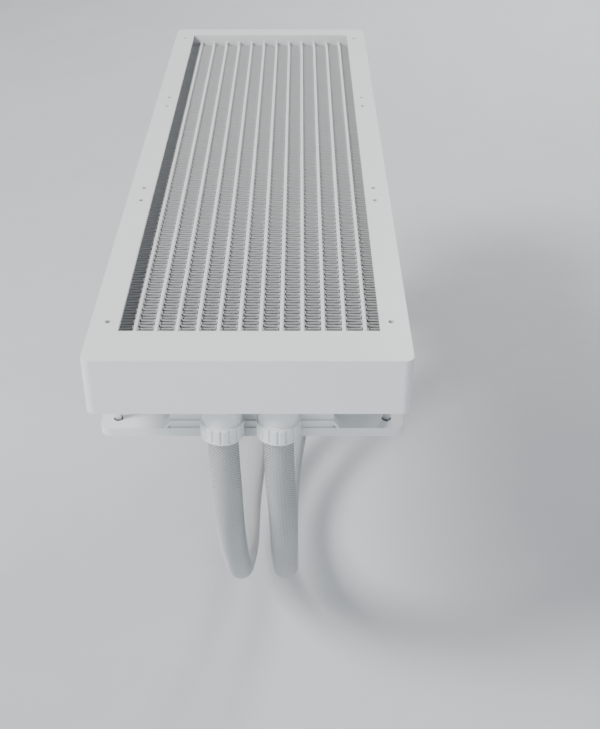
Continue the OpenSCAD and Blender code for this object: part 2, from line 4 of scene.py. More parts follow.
import bmesh
import bpy
import numpy as np
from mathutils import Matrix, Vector


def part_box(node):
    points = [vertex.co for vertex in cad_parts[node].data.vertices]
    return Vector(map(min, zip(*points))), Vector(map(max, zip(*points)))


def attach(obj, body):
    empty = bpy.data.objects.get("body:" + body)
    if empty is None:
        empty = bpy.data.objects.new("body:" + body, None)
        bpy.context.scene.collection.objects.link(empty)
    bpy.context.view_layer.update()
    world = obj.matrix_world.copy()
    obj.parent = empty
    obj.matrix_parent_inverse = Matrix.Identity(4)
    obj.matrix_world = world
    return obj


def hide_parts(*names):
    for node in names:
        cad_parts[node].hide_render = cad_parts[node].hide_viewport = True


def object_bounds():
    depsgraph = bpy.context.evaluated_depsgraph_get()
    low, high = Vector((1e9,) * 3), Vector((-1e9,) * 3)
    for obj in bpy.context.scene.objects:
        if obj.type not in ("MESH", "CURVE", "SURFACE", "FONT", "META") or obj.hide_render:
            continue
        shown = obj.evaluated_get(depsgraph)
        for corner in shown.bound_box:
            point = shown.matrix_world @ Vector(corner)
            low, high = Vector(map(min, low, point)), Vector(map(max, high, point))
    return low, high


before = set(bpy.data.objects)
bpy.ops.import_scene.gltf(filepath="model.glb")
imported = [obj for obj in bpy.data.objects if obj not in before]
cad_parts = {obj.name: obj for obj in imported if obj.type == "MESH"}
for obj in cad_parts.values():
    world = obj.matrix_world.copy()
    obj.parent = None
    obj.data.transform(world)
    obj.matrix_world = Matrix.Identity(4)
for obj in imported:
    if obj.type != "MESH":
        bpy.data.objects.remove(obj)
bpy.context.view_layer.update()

ROOT = "cooler"
FANS = ["front", "middle", "rear"]
BLADE_COUNT = 9
FLAT_TUBE_COUNT = 12
FLAT_TUBE_WIDTH = 0.002
FAN_HOLE_PITCH = 0.1245
FAN_SCREW_RADIUS = 0.00175
HOSE_DIAMETER = 0.014
STRANDS_AROUND = 28
COLLAR_BORE = HOSE_DIAMETER / 2 + 0.0002
RIB_COUNT = 16

# The hoses' routes, in metres, from inside the radiator's collar to inside the pump head's collar
ROUTE_LEFT = [
    (-0.0125, -0.222, -0.029), (-0.0125, -0.222, -0.050), (-0.012, -0.219, -0.076),
    (-0.012, -0.210, -0.106), (-0.012, -0.194, -0.138), (-0.012, -0.172, -0.170),
    (-0.012, -0.146, -0.200), (-0.012, -0.119, -0.221), (-0.011, -0.088, -0.233),
    (-0.011, -0.054, -0.235), (-0.009, -0.020, -0.230), (-0.004, 0.011, -0.222),
    (0.007, 0.040, -0.210), (0.022, 0.064, -0.196), (0.036, 0.086, -0.184),
    (0.046, 0.110, -0.175), (0.050, 0.134, -0.171), (0.050, 0.152, -0.171),
]
ROUTE_RIGHT = [
    (0.0125, -0.222, -0.029), (0.0125, -0.222, -0.050), (0.013, -0.219, -0.076),
    (0.014, -0.210, -0.106), (0.014, -0.194, -0.138), (0.014, -0.172, -0.170),
    (0.014, -0.146, -0.200), (0.014, -0.119, -0.221), (0.014, -0.088, -0.233),
    (0.014, -0.054, -0.235), (0.016, -0.020, -0.228), (0.021, 0.011, -0.214),
    (0.028, 0.041, -0.195), (0.036, 0.066, -0.176), (0.043, 0.088, -0.162),
    (0.048, 0.110, -0.153), (0.050, 0.134, -0.149), (0.050, 0.152, -0.149),
]


# ---------- camera, floor and light ----------

def middle(node):
    low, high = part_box(node)
    return (Vector(low) + Vector(high)) / 2


def add_camera():
    """Camera in front of and above the hose end, looking along +Y and down."""
    to_the_right = 0.0221
    in_front = 0.4124
    above = 0.255
    pitch_down = math.radians(33.45)
    data = bpy.data.cameras.new("camera")
    data.lens = 55.2
    data.sensor_width = 36
    camera = bpy.data.objects.new("camera", data)
    fan_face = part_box("front_fan_frame")[0][1]
    camera.location = (to_the_right, fan_face - in_front, above)
    camera.rotation_euler = (math.pi / 2 - pitch_down, 0, 0)
    bpy.context.collection.objects.link(camera)
    bpy.context.scene.camera = camera


def add_area_light(name, location, target, size, power, colour=(1, 1, 1)):
    data = bpy.data.lights.new(name, "AREA")
    data.size = size
    data.energy = power
    data.color = colour
    light = bpy.data.objects.new(name, data)
    light.location = location
    direction = Vector(target) - Vector(location)
    light.rotation_euler = direction.to_track_quat("-Z", "Y").to_euler()
    bpy.context.collection.objects.link(light)


def add_world():
    """Dim, cool light from all round; the camera itself sees a pale backdrop."""
    world = bpy.data.worlds.new("studio")
    world.use_nodes = True
    tree = world.node_tree
    around = tree.nodes["Background"]
    around.inputs["Color"].default_value = (0.82, 0.85, 0.88, 1)
    around.inputs["Strength"].default_value = 0.38
    backdrop = tree.nodes.new("ShaderNodeBackground")
    backdrop.inputs["Color"].default_value = (0.42, 0.44, 0.46, 1)
    seen = tree.nodes.new("ShaderNodeLightPath")
    choose = tree.nodes.new("ShaderNodeMixShader")
    tree.links.new(seen.outputs["Is Camera Ray"], choose.inputs["Fac"])
    tree.links.new(around.outputs["Background"], choose.inputs[1])
    tree.links.new(backdrop.outputs["Background"], choose.inputs[2])
    tree.links.new(choose.outputs["Shader"], tree.nodes["World Output"].inputs["Surface"])
    bpy.context.scene.world = world


def add_studio():
    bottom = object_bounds()[0][2]
    target = (0, 0, bottom / 2)
    add_area_light("key", (-1.2, -0.7, 1.2), target, 0.6, 46, (1.0, 0.99, 0.97))
    add_area_light("fill", (1.4, -1.0, 0.4), target, 1.3, 5, (0.86, 0.95, 1.0))
    add_area_light("rim", (0.7, 1.5, 0.9), target, 0.8, 26)
    add_area_light("front", (-0.4, -1.4, -0.1), target, 0.6, 5.0, (0.84, 0.97, 1.0))
    add_world()
    half = 2.6
    gap_below = 0.02
    height = bottom - gap_below
    corners = [(-half, -half, height), (half, -half, height), (half, half, height), (-half, half, height)]
    floor = add_mesh("floor", corners, [(0, 1, 2, 3)])
    finish_with(floor, paint("floor_paint", (0.62, 0.64, 0.66), 0.8, grain=90, depth=0.0002))


# ---------- mesh helpers ----------

def add_mesh(name, points, faces, smooth=False):
    mesh = bpy.data.meshes.new(name)
    mesh.from_pydata([tuple(p) for p in points], [], [tuple(f) for f in faces])
    mesh.validate()
    if smooth:
        mesh.shade_smooth()
    obj = bpy.data.objects.new(name, mesh)
    bpy.context.collection.objects.link(obj)
    return obj


def grid_faces(rows, columns):
    """Quads over a grid of points stored row by row; the columns wrap round."""
    faces = []
    for i in range(rows - 1):
        for j in range(columns):
            k = (j + 1) % columns
            start = i * columns
            faces.append((start + j, start + k, start + columns + k, start + columns + j))
    return faces


def capped_tube(rows, columns):
    """Quads all round a tube of rows, with one face over each end."""
    faces = grid_faces(rows, columns)
    faces.append(tuple(reversed(range(columns))))
    faces.append(tuple(range((rows - 1) * columns, rows * columns)))
    return faces


def lathe_points(profile, segments, rib=None):
    """Points of a profile of (radius, height) turned about Z; rib(angle, height) takes from the radius."""
    points = []
    for radius, height in profile:
        for k in range(segments):
            angle = 2 * math.pi * k / segments
            r = radius - (rib(angle, radius, height) if rib else 0)
            points.append((r * math.cos(angle), r * math.sin(angle), height))
    return points


def rounded(profile, radius, steps=4):
    """A closed profile with each corner rounded by an arc of that radius, or less on a short side."""
    result = []
    count = len(profile)
    for i, corner in enumerate(profile):
        p = Vector(corner)
        before = Vector(profile[i - 1]) - p
        after = Vector(profile[(i + 1) % count]) - p
        cut = min(radius, before.length * 0.45, after.length * 0.45)
        start = p + before.normalized() * cut
        end = p + after.normalized() * cut
        for s in range(steps + 1):
            t = s / steps
            result.append(tuple(start * (1 - t) ** 2 + p * 2 * t * (1 - t) + end * t ** 2))
    return result


def lathe(name, profile, segments=96, rib=None, corner=0.0003):
    """Closed ring-shaped solid from a closed profile; smooth, with its corners rounded."""
    soft = rounded(profile, corner)
    points = lathe_points(soft, segments, rib)
    rows = len(soft)
    faces = grid_faces(rows, segments)
    for j in range(segments):
        k = (j + 1) % segments
        top = (rows - 1) * segments
        faces.append((top + j, top + k, k, j))
    obj = add_mesh(name, points, faces, smooth=True)
    fix_normals(obj)
    return obj


def turned(name, profile, segments=64, corner=0.0003):
    """Solid of revolution whose open profile starts and ends on the axis."""
    ring = [p for p in rounded(profile, corner) if p[0] > 1e-6]
    obj = add_mesh(name, lathe_points(ring, segments), capped_tube(len(ring), segments), smooth=True)
    fix_normals(obj)
    return obj


def fix_normals(obj):
    work = bmesh.new()
    work.from_mesh(obj.data)
    bmesh.ops.recalc_face_normals(work, faces=work.faces)
    work.to_mesh(obj.data)
    work.free()


def place(obj, matrix_rows):
    """Moves the mesh's own points: three rows give where its X, Y and Z go, and the last its origin."""
    axes = np.array(matrix_rows[:3], float)
    origin = np.array(matrix_rows[3], float)
    count = len(obj.data.vertices)
    flat = np.empty(count * 3)
    obj.data.vertices.foreach_get("co", flat)
    moved = flat.reshape(-1, 3) @ axes + origin
    obj.data.vertices.foreach_set("co", moved.ravel())
    obj.data.update()
    fix_normals(obj)


def down_at(point):
    return [(1, 0, 0), (0, -1, 0), (0, 0, -1), point]


def towards_front_at(point):
    return [(1, 0, 0), (0, 0, 1), (0, -1, 0), point]


def along_x_at(point):
    return [(0, 0, -1), (0, 1, 0), (1, 0, 0), point]


def upright_at(point):
    return [(1, 0, 0), (0, 1, 0), (0, 0, 1), point]


def join(name, parts):
    """One mesh out of several loose ones."""
    work = bmesh.new()
    for part in parts:
        work.from_mesh(part.data)
        bpy.data.objects.remove(part)
    mesh = bpy.data.meshes.new(name)
    work.to_mesh(mesh)
    work.free()
    mesh.shade_smooth()
    obj = bpy.data.objects.new(name, mesh)
    bpy.context.collection.objects.link(obj)
    return obj


def soften_edges(obj, width, segments=2):
    bevel = obj.modifiers.new("edges", "BEVEL")
    bevel.width = width
    bevel.segments = segments
    bevel.limit_method = "ANGLE"
    bevel.angle_limit = math.radians(40)
    bevel.harden_normals = False


def finish_with(obj, material):
    obj.data.materials.clear()
    obj.data.materials.append(material)


def stand_for(obj, material, body, *nodes):
    """A new piece that replaces CAD nodes and rides on their body."""
    finish_with(obj, material)
    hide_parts(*nodes)
    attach(obj, body)


# ---------- material helpers ----------

class Surface:
    """A Principled material and the few node shapes that the materials below share."""

    def __init__(self, name, metallic=0.0):
        self.material = bpy.data.materials.new(name)
        self.material.use_nodes = True
        self.tree = self.material.node_tree
        self.shader = self.tree.nodes["Principled BSDF"]
        self.shader.inputs["Metallic"].default_value = metallic
        self.place = self.add("ShaderNodeTexCoord").outputs["Object"]

    def add(self, kind, **settings):
        node = self.tree.nodes.new(kind)
        for key, value in settings.items():
            setattr(node, key, value)
        return node

    def link(self, source, target):
        if isinstance(source, (int, float)):
            target.default_value = source
        else:
            self.tree.links.new(source, target)

    def math(self, operation, first, second=0.0, third=0.0):
        node = self.add("ShaderNodeMath", operation=operation)
        for value, socket in zip((first, second, third), node.inputs):
            self.link(value, socket)
        return node.outputs[0]

    def noise(self, scale, detail=3.0, vector=None):
        node = self.add("ShaderNodeTexNoise")
        node.inputs["Scale"].default_value = scale
        node.inputs["Detail"].default_value = detail
        self.link(vector or self.place, node.inputs["Vector"])
        return node.outputs["Fac"]

    def between(self, factor, low, high):
        node = self.add("ShaderNodeMapRange")
        self.link(factor, node.inputs["Value"])
        node.inputs["To Min"].default_value = low
        node.inputs["To Max"].default_value = high
        return node.outputs["Result"]

    def blend(self, factor, first, second):
        node = self.add("ShaderNodeMix", data_type="RGBA")
        self.link(factor, node.inputs["Factor"])
        for value, socket in ((first, node.inputs["A"]), (second, node.inputs["B"])):
            if isinstance(value, tuple):
                socket.default_value = (*value, 1)
            else:
                self.link(value, socket)
        return node.outputs["Result"]

    def colour(self, source):
        self.link(source, self.shader.inputs["Base Color"])

    def roughness(self, source):
        self.link(source, self.shader.inputs["Roughness"])

    def bump(self, height, distance, strength=1.0):
        node = self.add("ShaderNodeBump")
        node.inputs["Distance"].default_value = distance
        node.inputs["Strength"].default_value = strength
        self.link(height, node.inputs["Height"])
        if self.shader.inputs["Normal"].is_linked:
            self.link(self.shader.inputs["Normal"].links[0].from_socket, node.inputs["Normal"])
        self.link(node.outputs["Normal"], self.shader.inputs["Normal"])


def shade(colour, factor):
    return tuple(min(1.0, c * factor) for c in colour)


def paint(name, colour, roughness, grain=2600, depth=0.00006, metallic=0.0, coat=0.0):
    """Painted or moulded surface: broad tone drift, fine orange-peel or grain, uneven gloss."""
    s = Surface(name, metallic)
    drift = s.noise(14, 4)
    speck = s.noise(grain * 0.4, 2)
    tone = s.blend(drift, shade(colour, 0.93), shade(colour, 1.03))
    s.colour(s.blend(s.between(speck, 0, 0.35), tone, shade(colour, 0.9)))
    s.roughness(s.between(s.noise(60, 5), roughness - 0.09, roughness + 0.09))
    s.bump(s.noise(grain, 3), depth)
    s.bump(s.noise(45, 2), depth * 4, 0.5)
    s.shader.inputs["Coat Weight"].default_value = coat
    return s.material


def brushed(name, colour, roughness, stretch=(1, 1, 30), scale=900, depth=0.00003):
    """Bare metal with fine drawn lines in one direction and faint smudges."""
    s = Surface(name, 1.0)
    mapping = s.add("ShaderNodeMapping")
    mapping.inputs["Scale"].default_value = stretch
    s.link(s.place, mapping.inputs["Vector"])
    lines = s.noise(scale, 3, mapping.outputs["Vector"])
    smudge = s.noise(35, 4)
    s.colour(s.blend(smudge, shade(colour, 0.86), shade(colour, 1.04)))
    s.roughness(s.between(lines, roughness - 0.08, roughness + 0.12))
    s.bump(lines, depth)
    return s.material


def fin_paint_with_painted_shade():
    """White paint with painted shade that deepens towards the middle of the core's depth, between the fins.
    """
    s = Surface("fin_paint_with_painted_shade")
    low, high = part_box("fin_rows")
    axes = s.add("ShaderNodeSeparateXYZ")
    s.link(s.place, axes.inputs["Vector"])
    height = s.math("SUBTRACT", axes.outputs["Z"], (low[2] + high[2]) / 2)
    depth = s.math("DIVIDE", s.math("ABSOLUTE", height), (high[2] - low[2]) / 2)
    near = s.math("POWER", depth, 3)
    # painted shade: 1 at the core's top and bottom faces, falling to near-black at mid-depth between the
    # fins
    lit_share = s.math("ADD", s.math("MULTIPLY", near, 0.95), s.between(s.noise(300, 3), -0.06, 0.06))
    s.colour(s.blend(lit_share, (0.10, 0.105, 0.11), (0.84, 0.85, 0.86)))
    s.roughness(s.between(lit_share, 0.32, 0.55))
    louvre = s.math("SINE", s.math("MULTIPLY", axes.outputs["Z"], 2 * math.pi / 0.0014))
    s.bump(louvre, 0.0001)
    s.bump(s.noise(3000, 2), 0.00002)
    return s.material


def braid():
    """Woven sleeve: two sets of flat strands that pass over and under each other, with painted shade in the
    crevices between them.
    """
    s = Surface("braided_sleeve")
    weave = s.add("ShaderNodeUVMap", uv_map="weave")
    axes = s.add("ShaderNodeSeparateXYZ")
    s.link(weave.outputs["UV"], axes.inputs["Vector"])
    first = s.math("ADD", axes.outputs["X"], axes.outputs["Y"])
    second = s.math("SUBTRACT", axes.outputs["X"], axes.outputs["Y"])
    cell = s.math("ADD", s.math("FLOOR", first), s.math("FLOOR", second))
    over = s.math("FLOORED_MODULO", cell, 2)
    under = s.math("SUBTRACT", 1, over)
    in_first = s.math("FRACT", first)
    in_second = s.math("FRACT", second)
    across = s.math("ADD", s.math("MULTIPLY", in_first, over), s.math("MULTIPLY", in_second, under))
    along = s.math("ADD", s.math("MULTIPLY", in_second, over), s.math("MULTIPLY", in_first, under))
    edge = s.math("ABSOLUTE", s.math("MULTIPLY_ADD", across, 2, -1))
    dip = s.math("ABSOLUTE", s.math("MULTIPLY_ADD", along, 2, -1))
    # crevice: strand edges and the ends where a strand dives under another; the colour below darkens it as
    # painted shade
    crevice = s.math("MAXIMUM", s.math("POWER", edge, 4), s.math("MULTIPLY", s.math("POWER", dip, 5), 0.8))
    filament = s.math("SINE", s.math("MULTIPLY", across, 2 * math.pi * 5))
    fibre = s.between(filament, 0, 1)
    tone = s.blend(s.noise(30, 3), (0.70, 0.73, 0.74), (0.83, 0.85, 0.86))
    lit = s.blend(s.math("MULTIPLY", fibre, 0.25), tone, (0.48, 0.51, 0.53))
    s.colour(s.blend(s.math("MULTIPLY", crevice, 0.85), lit, (0.15, 0.16, 0.17)))
    s.roughness(s.between(fibre, 0.52, 0.72))
    s.shader.inputs["Sheen Weight"].default_value = 0.25
    s.bump(filament, 0.00005)
    s.bump(s.math("SUBTRACT", 1, crevice), 0.00022)
    s.bump(s.noise(2500, 2), 0.00003)
    return s.material


def milky_plastic():
    """Slightly translucent white blades."""
    s = Surface("blade_plastic")
    s.colour(s.blend(s.noise(25, 3), (0.80, 0.82, 0.84), (0.90, 0.91, 0.92)))
    s.roughness(s.between(s.noise(80, 3), 0.28, 0.42))
    s.bump(s.noise(1800, 2), 0.00003)
    s.shader.inputs["Subsurface Weight"].default_value = 0.25
    s.shader.inputs["Subsurface Scale"].default_value = 0.002
    return s.material


def copper_plate():
    """Milled copper with faint concentric tool marks about the pump's axis."""
    s = Surface("copper", 1.0)
    centre = middle("cold_plate")
    offset = s.add("ShaderNodeVectorMath", operation="SUBTRACT")
    s.link(s.place, offset.inputs[0])
    offset.inputs[1].default_value = centre
    distance = s.add("ShaderNodeVectorMath", operation="LENGTH")
    s.link(offset.outputs["Vector"], distance.inputs[0])
    marks = s.math("SINE", s.math("MULTIPLY", distance.outputs["Value"], 2 * math.pi / 0.0006))
    s.colour(s.blend(s.noise(40, 4), (0.72, 0.36, 0.22), (0.86, 0.50, 0.34)))
    s.roughness(s.between(marks, 0.22, 0.34))
    s.bump(marks, 0.00001)
    return s.material


def winding():
    """Enamelled copper wire in tight rows, with painted shade in the grooves between the turns."""
    s = Surface("winding", 1.0)
    axes = s.add("ShaderNodeSeparateXYZ")
    s.link(s.place, axes.inputs["Vector"])
    turns = s.math("SINE", s.math("MULTIPLY", axes.outputs["Z"], 2 * math.pi / 0.0005))
    # painted shade: dark where the bump is low, between the turns; plain copper on their crowns
    s.colour(s.blend(s.between(turns, 0, 1), (0.30, 0.12, 0.05), (0.72, 0.34, 0.16)))
    s.roughness(s.between(s.noise(200, 2), 0.25, 0.4))
    s.bump(turns, 0.0001)
    return s.material


def circuit_board():
    """Green solder mask with pale pads scattered over it."""
    s = Surface("circuit_board")
    pads = s.add("ShaderNodeTexVoronoi")
    pads.inputs["Scale"].default_value = 420
    s.link(s.place, pads.inputs["Vector"])
    is_pad = s.math("LESS_THAN", pads.outputs["Distance"], 0.22)
    mask = s.blend(s.noise(50, 3), (0.02, 0.13, 0.06), (0.04, 0.22, 0.10))
    s.colour(s.blend(is_pad, mask, (0.60, 0.60, 0.58)))
    s.roughness(s.between(is_pad, 0.35, 0.25))
    s.bump(is_pad, 0.00005)
    return s.material


def smoked_cap():
    """Dark glossy disc with soft smudges."""
    s = Surface("cap_glass")
    s.colour(s.blend(s.noise(30, 4), (0.05, 0.055, 0.06), (0.09, 0.095, 0.10)))
    s.roughness(s.between(s.noise(120, 5), 0.05, 0.16))
    s.bump(s.noise(12, 2), 0.00005)
    s.shader.inputs["Coat Weight"].default_value = 0.5
    return s.material


# ---------- hoses ----------

def spline_through(points, step):
    """Natural cubic spline through the points, by distance along them, cut into even steps."""
    knots = np.array(points, float)
    gaps = np.linalg.norm(np.diff(knots, axis=0), axis=1)
    at = np.concatenate([[0], np.cumsum(gaps)])
    count = len(knots)
    matrix = np.eye(count)
    right = np.zeros((count, 3))
    for i in range(1, count - 1):
        before, after = gaps[i - 1], gaps[i]
        matrix[i, i - 1:i + 2] = before, 2 * (before + after), after
        right[i] = 6 * ((knots[i + 1] - knots[i]) / after - (knots[i] - knots[i - 1]) / before)
    bend = np.linalg.solve(matrix, right)

    def position(s):
        i = np.clip(np.searchsorted(at, s, side="right") - 1, 0, count - 2)
        width = gaps[i][:, None]
        a = (at[i + 1] - s)[:, None] / width
        b = 1 - a
        curve = ((a ** 3 - a) * bend[i] + (b ** 3 - b) * bend[i + 1]) * width ** 2 / 6
        return a * knots[i] + b * knots[i + 1] + curve

    fine = position(np.linspace(0, at[-1], 4000))
    length = np.concatenate([[0], np.cumsum(np.linalg.norm(np.diff(fine, axis=0), axis=1))])
    wanted = np.linspace(0, length[-1], int(length[-1] / step) + 1)
    line = np.stack([np.interp(wanted, length, fine[:, k]) for k in range(3)], axis=1)
    return line, wanted


def strand_height(around, along):
    """Height of the weave, 0 in the gaps and 1 on a strand's crown, in strand units."""
    first = around + along
    second = around - along
    over = (np.floor(first) + np.floor(second)) % 2
    across = np.where(over > 0.5, first % 1, second % 1)
    lengthwise = np.where(over > 0.5, second % 1, first % 1)
    return (1 - (2 * across - 1) ** 4) * (1 - 0.5 * (2 * lengthwise - 1) ** 2)


def braided_hose(name, route):
    """Tube with its woven strands as geometry, and the weave's own coordinates for the material."""
    sides = STRANDS_AROUND * 4
    cell = math.pi * HOSE_DIAMETER / STRANDS_AROUND
    line, distance = spline_through(route, cell / (4))
    heading = np.gradient(line, axis=0)
    heading /= np.linalg.norm(heading, axis=1)[:, None]
    side = np.array([1.0, 0, 0]) - heading * heading[:, :1]
    side /= np.linalg.norm(side, axis=1)[:, None]
    other = np.cross(heading, side)
    turn = np.arange(sides) / sides
    angle = 2 * np.pi * turn
    around = (turn * STRANDS_AROUND)[None, :]
    along = (distance / cell)[:, None]
    relief = 0.00035
    radius = HOSE_DIAMETER / 2 - relief + relief * strand_height(around, along)
    direction = side[:, None] * np.cos(angle)[None, :, None] + other[:, None] * np.sin(angle)[None, :, None]
    points = line[:, None] + direction * radius[:, :, None]
    hose = add_mesh(name, points.reshape(-1, 3), capped_tube(len(line), sides), smooth=True)
    write_weave(hose, sides, along[:, 0])
    return hose, line


def write_weave(hose, sides, along):
    """Strand coordinates on each face corner, so that they don't jump where the tube closes."""
    mesh = hose.data
    layer = mesh.uv_layers.new(name="weave")
    corners = np.empty(len(mesh.loops), dtype=int)
    mesh.loops.foreach_get("vertex_index", corners)
    column = corners % sides
    across = column / sides * STRANDS_AROUND
    quads = (len(along) - 1) * sides * 4
    wraps = np.zeros(len(corners), dtype=bool)
    by_face = column[:quads].reshape(-1, 4)
    closing = by_face.max(axis=1) - by_face.min(axis=1) > 1
    wraps[:quads] = (closing[:, None] & (by_face == 0)).ravel()
    across = across + wraps * STRANDS_AROUND
    values = np.stack([across, along[corners // sides]], axis=1)
    layer.data.foreach_set("uv", values.ravel())


def add_hoses():
    material = braid()
    for name, route, node in (
        ("hose_left", ROUTE_LEFT, "tube_left"),
        ("hose_right", ROUTE_RIGHT, "tube_right"),
    ):
        hose, line = braided_hose(name, route)
        stand_for(hose, material, ROOT, node)


# ---------- collars ----------

def smooth_sleeve(name, length, radius):
    """Plain upper sleeve with a soft lip and a fine groove near its end."""
    groove = length - 0.0009
    profile = [
        (COLLAR_BORE, 0), (radius, 0), (radius, groove - 0.0006), (radius - 0.0004, groove - 0.0003),
        (radius - 0.0004, groove), (radius, groove + 0.0003), (radius, length), (COLLAR_BORE, length),
    ]
    return lathe(name, profile)


def ribbed_ring(name, length, radius):
    """Grip ring: wide flat ribs with narrow grooves between them, and a chamfered rim."""
    rim = 0.0011
    groove_share = 0.13
    groove_depth = 0.0008
    heights = np.linspace(0.0007, length - rim - 0.0005, 9)
    wall = [(radius, h) for h in heights]
    profile = [
        (COLLAR_BORE, 0), (radius - 0.0003, 0), *wall,
        (radius, length - rim), (radius - 0.0008, length), (COLLAR_BORE, length),
    ]

    def rib(angle, r, height):
        if r < radius - 0.0001 or height < heights[0] * 0.8 or height > heights[-1]:
            return 0
        phase = (angle / (2 * math.pi) * RIB_COUNT) % 1
        edge = min(phase, 1 - phase) / groove_share
        return groove_depth * max(0.0, 1 - edge) ** 0.6

    return lathe(name, profile, segments=RIB_COUNT * 18, rib=rib, corner=0.00012)


def add_collars():
    """A sleeve and a grip ring on each of the four hose ends."""
    material = paint("collar_plastic", (0.86, 0.88, 0.89), 0.38, grain=3200, depth=0.00004)
    rim_material = paint("ring_plastic", (0.84, 0.87, 0.88), 0.34, grain=2800, depth=0.00005)
    for end, turn in (("left", down_at), ("right", down_at),
                      ("upper", towards_front_at), ("lower", towards_front_at)):
        prefix = "" if end in ("left", "right") else "pump_"
        axis = 2 if not prefix else 1
        sleeve_node = f"{prefix}sleeve_{end}"
        ring_node = f"{prefix}ring_{end}"
        for node, shape in ((sleeve_node, smooth_sleeve), (ring_node, ribbed_ring)):
            low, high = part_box(node)
            centre = middle(node)
            centre[axis] = high[axis]
            piece = shape(f"{node}_detail", high[axis] - low[axis], (high[0] - low[0]) / 2)
            place(piece, turn(centre))
            stand_for(piece, material if shape is smooth_sleeve else rim_material, ROOT, node)


# ---------- radiator ----------

def folded_fin(low, high, pitch, thickness):
    """One folded fin strip: round crests against the flat tubes, straight flanks between them."""
    half = (high[0] - low[0]) / 2 - thickness
    centre = (low[0] + high[0]) / 2
    folds = int((high[1] - low[1] - 2 * thickness) / pitch)
    start = (low[1] + high[1] - folds * pitch) / 2
    wave = []
    for i in range(folds):
        sign = 1 if i % 2 else -1
        at = start + i * pitch
        for share, reach in ((0.06, 0.90), (0.30, 1.0), (0.70, 1.0), (0.94, 0.90)):
            wave.append((centre + sign * half * reach, at + share * pitch))
    points = []
    for x, y in wave:
        for dx, z in ((-thickness / 2, low[2]), (thickness / 2, low[2]),
                      (thickness / 2, high[2]), (-thickness / 2, high[2])):
            points.append((x + dx, y, z))
    return points, capped_tube(len(wave), 4)


def add_fins():
    """Fine folded fins in every gap beside the flat tubes."""
    low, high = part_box("fin_rows")
    tube_low, tube_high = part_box("flat_tubes")
    pitch = (tube_high[0] - tube_low[0] - FLAT_TUBE_WIDTH) / (FLAT_TUBE_COUNT - 1)
    gap = pitch - FLAT_TUBE_WIDTH
    inset = 0.0006
    fold_pitch = 0.0024
    sheet = 0.00022
    points = []
    faces = []
    for row in range(FLAT_TUBE_COUNT + 1):
        left = tube_low[0] - gap + row * pitch
        strip_low = (left, low[1], low[2] + inset)
        strip_high = (left + gap, high[1], high[2] - inset)
        some_points, some_faces = folded_fin(strip_low, strip_high, fold_pitch, sheet)
        offset = len(points)
        points += some_points
        faces += [tuple(k + offset for k in f) for f in some_faces]
    fins = add_mesh("folded_fins", points, faces)
    stand_for(fins, fin_paint_with_painted_shade(), ROOT, "fin_rows")


def finish_radiator():
    """Powder-coated sheet metal with its edges broken."""
    coat = paint("powder_coat", (0.84, 0.85, 0.86), 0.42, grain=1500, depth=0.00007)
    for node in ("front_tank", "rear_tank", "left_rail", "right_rail"):
        finish_with(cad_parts[node], coat)
        soften_edges(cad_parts[node], 0.0007, 3)
    core_coat = paint("core_coat", (0.80, 0.81, 0.82), 0.5, grain=1200, depth=0.00008)
    for node in ("front_header", "rear_header", "tank_divider", "flat_tubes"):
        finish_with(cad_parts[node], core_coat)
    finish_with(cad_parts["fill_plug"], brushed("plug_metal", (0.72, 0.72, 0.73), 0.3))
    soften_edges(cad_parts["fill_plug"], 0.0003)
    fitting = brushed("fitting_metal", (0.75, 0.76, 0.77), 0.28)
    for node in ("barb_left", "barb_right", "pump_barb_upper", "pump_barb_lower"):
        finish_with(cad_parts[node], fitting)


# ---------- fans ----------

def blade_point(radius, share, side, hub, tip, height):
    """The CAD blade's own surface: a leaning arched strip, thin at its edges."""
    reach = (radius - hub) / (tip - hub)
    lean = math.radians(52 - 20 * reach)
    rise = (share - 0.5) * height
    arch = 0.003 * (1 - (2 * share - 1) ** 2)
    half = 0.0007 * math.sqrt(max(0.02, 1 - (2 * share - 1) ** 2)) * (1.15 - 0.3 * reach)
    across = -rise * math.tan(math.pi / 2 - lean) * 0.8 + arch + side * half
    angle = math.radians(16 * reach ** 2) + across / radius
    return radius * math.cos(angle), radius * math.sin(angle), rise


def fan_blade(name, hub, tip, height):
    stations = 16
    samples = 14
    loop = [(k / samples, 1) for k in range(samples + 1)]
    loop += [(k / samples, -1) for k in range(samples - 1, 0, -1)]
    points = []
    for i in range(stations + 1):
        radius = hub + (tip - hub) * i / stations
        points += [blade_point(radius, share, side, hub, tip, height) for share, side in loop]
    blade = add_mesh(name, points, capped_tube(stations + 1, len(loop)), smooth=True)
    fix_normals(blade)
    return blade


def fan_hub(name, radius, height):
    """Cup with a rounded nose, a shallow ring groove on its face and an open back."""
    wall = 0.0015
    groove = radius * 0.72
    profile = [
        (0.0016, 0), (groove - 0.0006, 0), (groove, 0.0004), (groove + 0.0006, 0),
        (radius, 0), (radius, height), (radius - wall, height), (radius - wall, wall), (0.0016, wall),
    ]
    return lathe(name, profile, corner=0.0012)


def add_rotor(fan, material):
    node = f"{fan}_fan_rotor"
    low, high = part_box(node)
    hub_wall = 0.0015
    hub_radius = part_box(f"{fan}_fan_magnet")[1][0] + hub_wall
    height = high[2] - low[2]
    centre = middle(f"{fan}_fan_shaft")
    tip = 0.065
    parts = [fan_hub("hub", hub_radius, height)]
    for i in range(BLADE_COUNT):
        turn = 2 * math.pi * i / BLADE_COUNT
        blade = fan_blade(f"blade{i}", hub_radius - 0.0006, tip, height - 0.001)
        c, s = math.cos(turn), math.sin(turn)
        place(blade, [(c, s, 0), (-s, c, 0), (0, 0, 1), (0, 0, height / 2)])
        parts.append(blade)
    rotor = join(f"{node}_detail", parts)
    place(rotor, upright_at((centre[0], centre[1], low[2])))
    stand_for(rotor, material, f"{fan}_fan_spinner", node)


